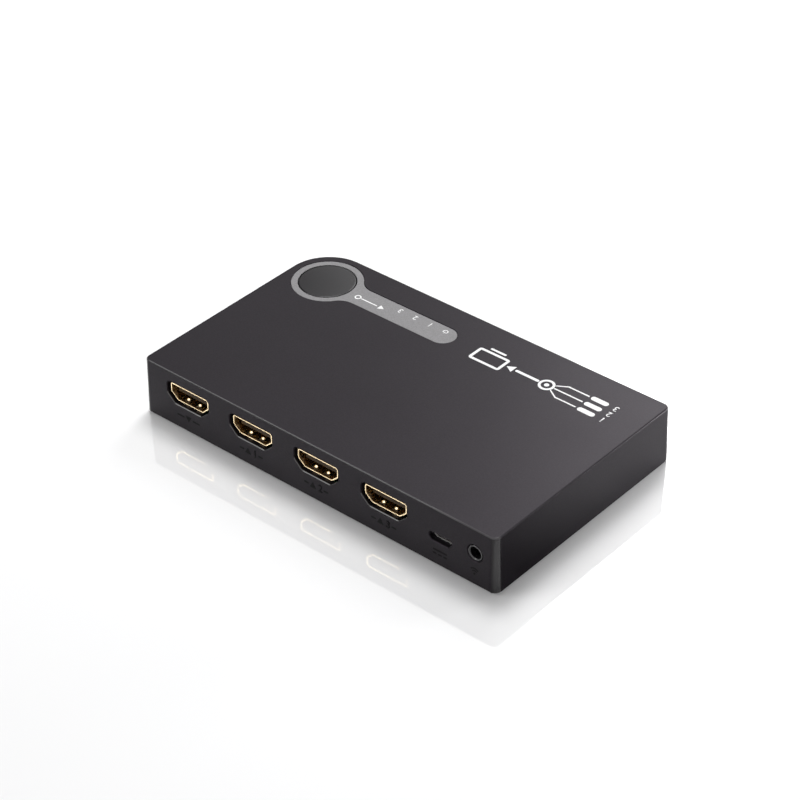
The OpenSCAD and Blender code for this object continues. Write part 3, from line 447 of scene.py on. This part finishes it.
def pick(piece, kind, test):
    """In edit mode, selects the verts, edges or faces that pass a test, and counts them."""
    bpy.ops.mesh.select_mode(type={"verts": "VERT", "edges": "EDGE", "faces": "FACE"}[kind])
    bpy.ops.mesh.select_all(action="DESELECT")
    mesh = bmesh.from_edit_mesh(piece.data)
    chosen = [item for item in getattr(mesh, kind) if test(item)]
    for item in chosen:
        item.select_set(True)
    mesh.select_flush_mode()
    bmesh.update_edit_mesh(piece.data)
    return len(chosen)


def copy_of(node):
    """A merged copy of a CAD node with its flat faces joined up, free of the frame."""
    only(frame["nodes"][node])
    bpy.ops.object.duplicate()
    piece = bpy.context.object
    piece.name = node + "_soft"
    for key in [key for key in piece.keys() if key.startswith("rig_")]:
        del piece[key]
    bpy.ops.object.parent_clear(type="CLEAR_KEEP_TRANSFORM")
    bpy.ops.mesh.customdata_custom_splitnormals_clear()
    bpy.ops.object.mode_set(mode="EDIT")
    bpy.ops.mesh.select_all(action="SELECT")
    bpy.ops.mesh.remove_doubles(threshold=1e-6)
    bpy.ops.mesh.dissolve_limited(angle_limit=math.radians(0.3))
    bpy.ops.object.mode_set(mode="OBJECT")
    return piece


print("tools ready: only, pick, copy_of")

# %% Tools for soft edges


def soften(piece, width, test, steps=2):
    """Bevels the sharp edges that pass a test by a width in millimetres, round or, in one step, flat."""
    only(piece)
    bpy.ops.object.mode_set(mode="EDIT")
    count = pick(piece, "edges", lambda edge: edge.calc_face_angle(0) > 0.9 and test(edge))
    bpy.ops.mesh.bevel(offset=width * MM, segments=steps, profile=0.5, clamp_overlap=False)
    bpy.ops.object.mode_set(mode="OBJECT")
    print(piece.name, "softened", count, "edges by", width, "mm")


def settle(piece):
    """Shades the rounded edges smoothly, and keeps the flat faces flat."""
    only(piece)
    bpy.ops.object.shade_smooth_by_angle(angle=math.radians(40))
    flat = piece.modifiers.new("flat_faces", "WEIGHTED_NORMAL")
    flat.keep_sharp = True
    bpy.ops.object.modifier_apply(modifier=flat.name)


def stand_for(piece, node):
    """The piece takes the node's place, body and finish."""
    settle(piece)
    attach(piece, "case")
    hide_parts(node)
    piece.data.materials.clear()
    piece.data.materials.append(finishes[slot_of[node]])


print("tools ready: soften, settle, stand_for")

# %% Soften the case
top_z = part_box("top_shell")[1].z
front_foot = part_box("top_shell")[0].y
DRAFT, WALL = 0.45, 17.6
LEAN = math.atan2(DRAFT, WALL)


def front_y(z):
    """Where the leaning front wall stands at a height."""
    return front_foot + math.tan(LEAN) * (z - case_bottom)


def in_front_wall(edge):
    """The mouths of the openings in the front wall."""
    return all(abs(v.co.y - front_y(v.co.z)) < 0.03 * MM for v in edge.verts)


def at_height(z):
    """A test for edges that lie at a height."""
    return lambda edge: all(abs(v.co.z - z) < 0.005 * MM for v in edge.verts)


case = copy_of("top_shell")
soften(case, 0.20, in_front_wall, steps=1)
soften(case, 0.10, at_height(top_z))
soften(case, 0.12, at_height(case_bottom))
stand_for(case, "top_shell")

# %% [markdown]
# ## Painted highlights on the edges
# The rounded front edge of the top and the lower lips of the video openings get a finish of their
# own, a shade paler and glossier than the case: a painted highlight that draws a light line along
# them. Past the video sockets that finish turns rougher, so the line fades out there. The front
# corners get two copies of the case plastic that differ in sheen, the stronger one where a corner
# turns towards the side: a painted sheen that makes the corner paler towards the side.

# %% Fade the painted edge highlight
# The painted edge highlight turns rougher past the video sockets, so its light line fades out.
GLOSSY_TO, DULL_FROM, DULLER = 42, 54, 0.4
finish = finishes["case_edge"]
shader = finish.node_tree.nodes["Principled BSDF"]
place = add(finish, "TexCoord", {}).outputs["Object"]
along = add(finish, "SeparateXYZ", {"Vector": place}).outputs["X"]
dull = add(finish, "MapRange", {"Value": along, "From Min": GLOSSY_TO * MM,
                                "From Max": DULL_FROM * MM, "To Min": 0.0, "To Max": DULLER})
gloss = shader.inputs["Roughness"].links[0].from_socket
total = add(finish, "Math", {0: gloss, 1: dull.outputs["Result"]})
finish.node_tree.links.new(total.outputs[0], shader.inputs["Roughness"])
print("the edge's gloss fades from", GLOSSY_TO, "to", DULL_FROM, "mm")

# %% Paint highlights on the front edges, the lips and the corners
for name in ("case_edge", "corner_dull", "corner_shine"):
    case.data.materials.append(finishes[name])
EDGE, DULL, SHINE = 1, 2, 3
REACH, EDGE_BAND, CLEAR = 4 * MM, 0.6 * MM, 2 * MM
BARELY, SLANT, TURNED, FLAT = 0.04, 0.15, 0.6, 0.97
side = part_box("top_shell")[1].x
past_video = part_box("video_shell_in_3")[1].x + CLEAR
finish_counts = [0, 0, 0, 0]
# Faces of the front edge and lips take the painted edge highlight, and corner faces a weaker or stronger
# painted sheen.
for face in case.data.polygons:
    spot, facing = face.center, face.normal
    in_front = facing.y < -BARELY and spot.y < front_y(spot.z) + REACH
    slanted = SLANT < facing.z < FLAT and facing.y < -SLANT
    edge_or_lip = slanted and (spot.z > top_z - EDGE_BAND or spot.x < past_video)
    corner = abs(spot.x) > side - REACH and abs(facing.x) > SLANT
    if in_front and edge_or_lip:
        face.material_index = EDGE
    elif in_front and corner:
        face.material_index = DULL if abs(facing.x) < TURNED else SHINE
    finish_counts[face.material_index] += 1
print("faces of the case, edge, dull and shiny corner:", finish_counts)

# %% [markdown]
# ## Softening the metal and the panel
# The rims of the sockets are rolled sheet, and their edges are rounded by the press. The four video
# sockets are alike, so one is softened and the others are copies of it, moved along the row. The
# power socket, the panel and the jack's collar follow in the same way.

# %% Soften the sockets
VIDEO = ["out", "in_1", "in_2", "in_3"]
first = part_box("video_shell_out")[0]


def at_mouth(y):
    """A test for edges that lie in the plane of a mouth."""
    return lambda edge: all(abs(v.co.y - y) < 0.01 * MM for v in edge.verts)


shell = copy_of("video_shell_out")
soften(shell, 0.12, at_mouth(first.y))
for name in VIDEO[1:]:
    only(shell)
    bpy.ops.object.duplicate()
    again = bpy.context.object
    again.name = "video_shell_" + name + "_soft"
    again.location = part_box("video_shell_" + name)[0] - first
    bpy.ops.object.transform_apply(location=True, rotation=False, scale=False)
    stand_for(again, "video_shell_" + name)
stand_for(shell, "video_shell_out")

power = copy_of("power_shell")
soften(power, 0.06, at_mouth(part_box("power_shell")[0].y))
stand_for(power, "power_shell")

# %% Soften the panel and the jack
panel_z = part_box("indicator_panel")[1].z
panel = copy_of("indicator_panel")
soften(panel, 0.10, at_height(panel_z))
stand_for(panel, "indicator_panel")

jack = copy_of("jack_body")
soften(jack, 0.10, at_mouth(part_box("jack_body")[0].y), steps=1)
stand_for(jack, "jack_body")
jack.data.materials[0] = finishes["jack_black"]

# %% [markdown]
# ## Printed marks: the tools
# The marks are flat shapes of ink, two hundredths of a millimetre thick. Each starts as a circle,
# a plane or a figure, is shaped in edit mode, and is joined with the others of its place. A
# solidify modifier gives the thickness, and the joined mark is then laid on its face.

# %% Bars and rings


def bar(start, end, width):
    """A flat bar with round ends between two points, in millimetres."""
    start, end = Vector(start), Vector(end)
    bpy.ops.object.select_all(action="DESELECT")
    bpy.ops.mesh.primitive_circle_add(vertices=24, radius=width / 2 * MM, fill_type="NGON")
    piece = bpy.context.object
    bpy.ops.object.mode_set(mode="EDIT")
    pick(piece, "verts", lambda v: v.co.x > 1e-7)
    bpy.ops.transform.translate(value=((end - start).length * MM, 0, 0))
    bpy.ops.object.mode_set(mode="OBJECT")
    piece.rotation_euler.z = math.atan2(end.y - start.y, end.x - start.x)
    piece.location = (start.x * MM, start.y * MM, 0)
    return piece


def ring(centre, radius, width, middle=0, half=180):
    """A flat ring, or the arc of it within half degrees of a middle direction."""
    bpy.ops.object.select_all(action="DESELECT")
    bpy.ops.mesh.primitive_circle_add(vertices=48, radius=(radius - width / 2) * MM)
    piece = bpy.context.object
    bpy.ops.object.mode_set(mode="EDIT")
    bpy.ops.mesh.select_mode(type="VERT")
    bpy.ops.mesh.select_all(action="SELECT")
    bpy.ops.mesh.extrude_region()
    grow = (radius + width / 2) / (radius - width / 2)
    bpy.ops.transform.resize(value=(grow, grow, 1))
    aim = Vector((math.cos(math.radians(middle)), math.sin(math.radians(middle)), 0))
    if pick(piece, "faces", lambda face: face.calc_center_median().angle(aim) > math.radians(half)):
        bpy.ops.mesh.delete(type="FACE")
    bpy.ops.object.mode_set(mode="OBJECT")
    piece.location = (centre[0] * MM, centre[1] * MM, 0)
    return piece


print("tools ready: bar, ring")

# %% Lines, frames and arrowheads


def ribbon(points, width):
    """A flat line that runs to the right through points, drawn out by extruding its end."""
    bpy.ops.object.select_all(action="DESELECT")
    bpy.ops.mesh.primitive_plane_add(size=width * MM)
    piece = bpy.context.object
    bpy.ops.object.mode_set(mode="EDIT")
    pick(piece, "verts", lambda v: v.co.x > 0)
    steps = [Vector(b) - Vector(a) for a, b in zip(points, points[1:])]
    bpy.ops.transform.translate(value=((steps[0].x - width) * MM, steps[0].y * MM, 0))
    for step in steps[1:]:
        move = (step.x * MM, step.y * MM, 0)
        bpy.ops.mesh.extrude_region_move(TRANSFORM_OT_translate={"value": move})
    bpy.ops.object.mode_set(mode="OBJECT")
    piece.location = ((points[0][0] + width / 2) * MM, points[0][1] * MM, 0)
    return piece


def screen(centre, width, height, border):
    """A flat frame with rounded corners: a plane, inset and opened."""
    bpy.ops.object.select_all(action="DESELECT")
    bpy.ops.mesh.primitive_plane_add(size=MM)
    piece = bpy.context.object
    bpy.ops.object.mode_set(mode="EDIT")
    bpy.ops.mesh.select_all(action="SELECT")
    bpy.ops.transform.resize(value=(width, height, 1))
    bpy.ops.mesh.bevel(offset=border * MM, segments=5, affect="VERTICES")
    bpy.ops.mesh.select_all(action="SELECT")
    bpy.ops.mesh.inset(thickness=border * MM)
    bpy.ops.mesh.delete(type="FACE")
    bpy.ops.object.mode_set(mode="OBJECT")
    piece.location = (centre[0] * MM, centre[1] * MM, 0)
    return piece


def arrowhead(centre, size, heading):
    """A flat triangle that points in a heading, in degrees from +X."""
    bpy.ops.object.select_all(action="DESELECT")
    bpy.ops.mesh.primitive_circle_add(vertices=3, radius=size * MM, fill_type="NGON",
                                      rotation=(0, 0, math.radians(heading - 90)))
    piece = bpy.context.object
    piece.location = (centre[0] * MM, centre[1] * MM, 0)
    return piece


print("tools ready: ribbon, screen, arrowhead")

# %% Figures and ink
INK = 0.02


def figure(centre, height, text, weight=0.03):
    """A number, centred on a point, as a flat mesh, with strokes made broader by a weight."""
    bpy.ops.object.select_all(action="DESELECT")
    bpy.ops.object.text_add()
    piece = bpy.context.object
    piece.data.body = text
    piece.data.size = height / 0.70 * MM
    piece.data.offset = weight * MM
    piece.data.align_x, piece.data.align_y = "CENTER", "CENTER"
    bpy.ops.object.convert(target="MESH")
    piece = bpy.context.object
    piece.location = (centre[0] * MM, centre[1] * MM, 0)
    return piece


def print_on(name, shapes, ink, laid):
    """Joins flat shapes into one mark of ink and lays it on a face."""
    bpy.ops.object.select_all(action="DESELECT")
    for shape in shapes:
        shape.select_set(True)
    bpy.context.view_layer.objects.active = shapes[0]
    bpy.ops.object.transform_apply(location=True, rotation=True, scale=True)
    if len(shapes) > 1:
        bpy.ops.object.join()
    piece = bpy.context.object
    piece.name = name
    bpy.ops.object.mode_set(mode="EDIT")
    if pick(piece, "faces", lambda face: face.normal.z < 0):
        bpy.ops.mesh.flip_normals()
    bpy.ops.object.mode_set(mode="OBJECT")
    body = piece.modifiers.new("thickness", "SOLIDIFY")
    body.thickness, body.offset = INK * MM, 1
    bpy.ops.object.modifier_apply(modifier=body.name)
    piece.matrix_world = laid
    bpy.ops.object.transform_apply(location=True, rotation=True, scale=True)
    piece.data.materials.append(finishes[ink])
    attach(piece, "case")
    print(name, len(piece.data.polygons), "faces")


print("tools ready: figure, print_on")

# %% [markdown]
# ## Marks on the strip
# The strip shows which input is on, by a small lamp under each number. It is meant to be read from
# the back of the box, so the figures stand upside down in the photograph. A ring with a bar is
# the usual sign for power, and a dot, a line and an arrowhead lead from the button to the figures.

# %% Marks on the strip


def on_top(x, y, z):
    """Lays a mark on the top so that it reads from the back."""
    return Matrix.Translation((x * MM, y * MM, z)) @ Matrix.Rotation(math.pi, 4, "Z")


def dot(centre, size):
    """A flat round dot: a bar of no length."""
    return bar(centre, centre, size)


STRIP_Y, LEAD_X, LEAD_Y = 26.7, -33.7, 24.2
THIN, LINE = 0.24, 0.4
for name in ("lamp_1", "lamp_2", "lamp_3"):
    low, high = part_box(name)
    print_on("strip_" + name, [figure((0, 0), 1.9, name[-1])], "ink_white",
             on_top((low.x + high.x) / 2 / MM, STRIP_Y, panel_z))

low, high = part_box("lamp_power")
sign = [ring((0, 0), 0.72, THIN, middle=270, half=142), bar((0, 0.15), (0, 0.85), THIN)]
print_on("strip_power_sign", sign, "ink_white",
         on_top((low.x + high.x) / 2 / MM, STRIP_Y, panel_z))
lead = [ring((4.6, 0), 0.85, LINE), bar((3.2, 0), (-2.6, 0), LINE), arrowhead((-4.2, 0), 1.2, 180)]
print_on("strip_lead_sign", lead, "ink_white", on_top(LEAD_X, LEAD_Y, panel_z))

# %% [markdown]
# ## Marks under the sockets
# Each socket has a small black mark below it, a shade deeper than the wall. An input has an
# arrowhead that points into its socket and its number, the output an arrowhead that points out,
# each between two short bars. The power socket has the sign for direct current, and the jack a
# dot with two waves. The wall leans back a little, so the marks are turned by that lean before
# they are laid on it.

# %% Marks under the sockets
MARK_Z, LOWER = 5.1 * MM, 0.3 * MM
BOLD, STROKE, WAVE, ARROW = 0.55, 0.5, 0.4, 1.35


def on_front(node, z=MARK_Z):
    """Lays a mark on the leaning front wall, below a node."""
    low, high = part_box(node)
    spot = Matrix.Translation(((low.x + high.x) / 2, front_y(z), z))
    return spot @ Matrix.Rotation(math.pi / 2 - LEAN, 4, "X")


out = [bar((-4.2, 0), (-1.9, 0), BOLD), arrowhead((0, 0.2), ARROW, 270), bar((1.9, 0), (4.2, 0), BOLD)]
print_on("mark_out", out, "ink_black", on_front("video_shell_out"))
for name in VIDEO[1:]:
    mark = [bar((-4.2, 0), (-3.0, 0), BOLD), arrowhead((-1.2, -0.2), ARROW, 90),
            figure((1.5, 0), 2.4, name[-1], weight=0.10), bar((3.0, 0), (4.2, 0), BOLD)]
    print_on("mark_" + name, mark, "ink_black", on_front("video_shell_" + name))

current = [bar((-2.2, 0.6), (2.2, 0.6), STROKE)]
current += [bar((x - 0.4, -0.6), (x + 0.4, -0.6), STROKE) for x in (-1.8, 0, 1.8)]
print_on("mark_power", current, "ink_black", on_front("power_shell", MARK_Z - LOWER))
waves = [dot((0, -0.9), 0.7)]
waves += [ring((0, -0.9), radius, WAVE, middle=90, half=48) for radius in (1.0, 1.75)]
print_on("mark_jack", waves, "ink_black", on_front("jack_body"))

# %% [markdown]
# ## The diagram on the top
# The right half of the top carries white print. Here it is a plain diagram of what the box does:
# three numbered inputs run together in a ring, and one bold line goes on to a screen.

# %% Diagram on the top
DIAGRAM_X, DIAGRAM_Y = 32, 24.6
MIDDLE, PITCH = 0.3, 3.2
picture = [screen((20.4, 0.6), 11.0, 6.2, 0.9), bar((18.0, -3.7), (22.8, -3.7), 0.8)]
trunk = [ring((0, MIDDLE), 2.1, 0.8), dot((0, MIDDLE), 1.5),
         bar((3.2, MIDDLE), (10.6, MIDDLE), 1.0), arrowhead((12.6, MIDDLE), 1.7, 0)]
inputs = []
for number, row in (("1", 1), ("2", 0), ("3", -1)):
    y = MIDDLE + row * PITCH
    meet = (-2.3, MIDDLE + 0.4 * row * PITCH) if row else (-2.7, y)
    inputs += [ribbon([(-12.6, y), (-5.4, y), meet], 0.5), bar((-18.2, y), (-14.2, y), 1.8)]
    inputs += [figure((-21.8, y), 2.2, number)]
print_on("top_diagram", picture + trunk + inputs, "ink_white", on_top(DIAGRAM_X, DIAGRAM_Y, top_z))
